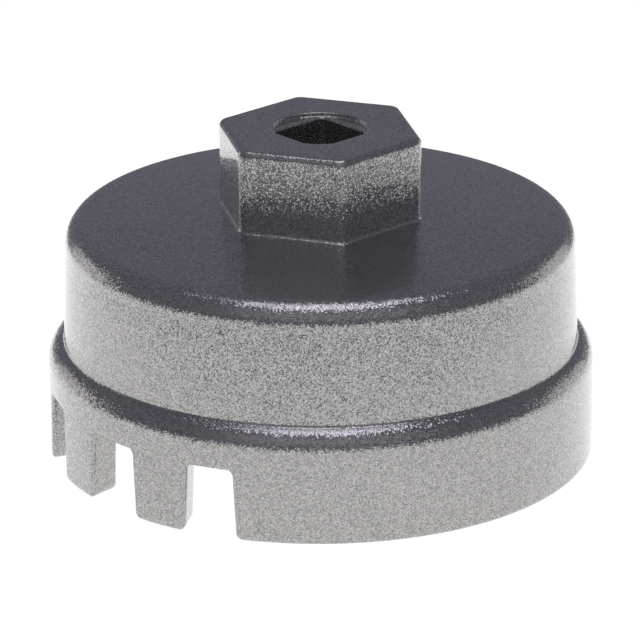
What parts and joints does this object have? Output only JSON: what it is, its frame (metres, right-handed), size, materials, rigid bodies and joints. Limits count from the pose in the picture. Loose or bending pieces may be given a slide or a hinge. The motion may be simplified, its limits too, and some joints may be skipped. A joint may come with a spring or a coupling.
{
  "type": "oil filter wrench",
  "caption": "Cap-style oil filter wrench: a fluted cup with a wide collar, notched rim, and hexagonal drive boss with a square socket.",
  "frame": {"origin": "centre of the rim's plane, on the cup's axis", "axes": "+Z along the cup's axis from the rim up to the drive hexagon; +X and +Y square to the walls of the drive socket"},
  "size_m": [0.08, 0.08, 0.0489],
  "materials": {
    "metallic_paint": "silver-grey metallic paint with fine flake under a glossy clear coat, on a die casting"
  },
  "bodies": {
    "root": {"drive_hexagon": "metallic_paint", "crown": "metallic_paint", "cup_wall": "metallic_paint", "collar": "metallic_paint", "skirt_front": "metallic_paint", "skirt_rear": "metallic_paint", "rim_tab_1": "metallic_paint", "rim_tab_2": "metallic_paint", "rim_tab_3": "metallic_paint", "rim_tab_4": "metallic_paint", "flute_01": "metallic_paint", "flute_02": "metallic_paint", "flute_03": "metallic_paint", "flute_04": "metallic_paint", "flute_05": "metallic_paint", "flute_06": "metallic_paint", "flute_07": "metallic_paint", "flute_08": "metallic_paint", "flute_09": "metallic_paint", "flute_10": "metallic_paint", "flute_11": "metallic_paint", "flute_12": "metallic_paint", "flute_13": "metallic_paint", "flute_14": "metallic_paint"}
  },
  "joints": []
}
